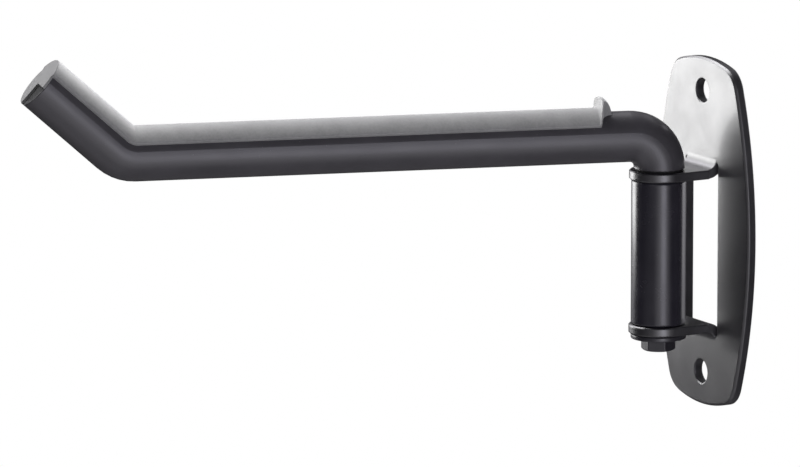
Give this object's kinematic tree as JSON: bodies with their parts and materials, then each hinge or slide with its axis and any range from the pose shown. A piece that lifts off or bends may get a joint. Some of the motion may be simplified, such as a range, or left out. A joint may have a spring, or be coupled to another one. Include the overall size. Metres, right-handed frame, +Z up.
{
  "type": "bicycle wall rack",
  "caption": "Swing-arm bicycle wall rack: gloss black wall plate with pivot barrel, bent satin black tube arm and grey rubber cover.",
  "frame": {"origin": "midway between the two screw holes, at the centre of the wall plate's back face, on the wall", "axes": "+Z up along the wall, +Y into the wall, -Y out into the room, +X to the right as seen from the room"},
  "size_m": [0.1301, 0.293, 0.1633],
  "materials": {
    "gloss_black_steel": "gloss black enamel",
    "gloss_black_barrel": "gloss",
    "black_nylon": "moulded",
    "satin_black_tube": "satin black powder coat",
    "turned_steel": "turned",
    "black_fastener": "black oxide",
    "grey_rubber": "moulded matt rubber"
  },
  "bodies": {
    "wall_bracket": {"wall_plate": "gloss_black_steel", "upper_bush": "black_nylon", "lower_bush": "black_nylon", "pivot_sleeve": "gloss_black_barrel"},
    "swing_arm": {"arm_tube": "satin_black_tube", "tube_plug": "black_nylon", "pivot_pin": "turned_steel", "retaining_washer": "black_fastener", "pivot_bolt": "black_fastener", "arm_cover": "grey_rubber"}
  },
  "joints": [
    {"name": "arm_swing", "type": "hinge", "parent": "wall_bracket", "child": "swing_arm", "pos_m": [0, -0.0258, 0.0252], "axis": [0, 0, 1], "range_deg": [-72.6, 107.4]}
  ]
}
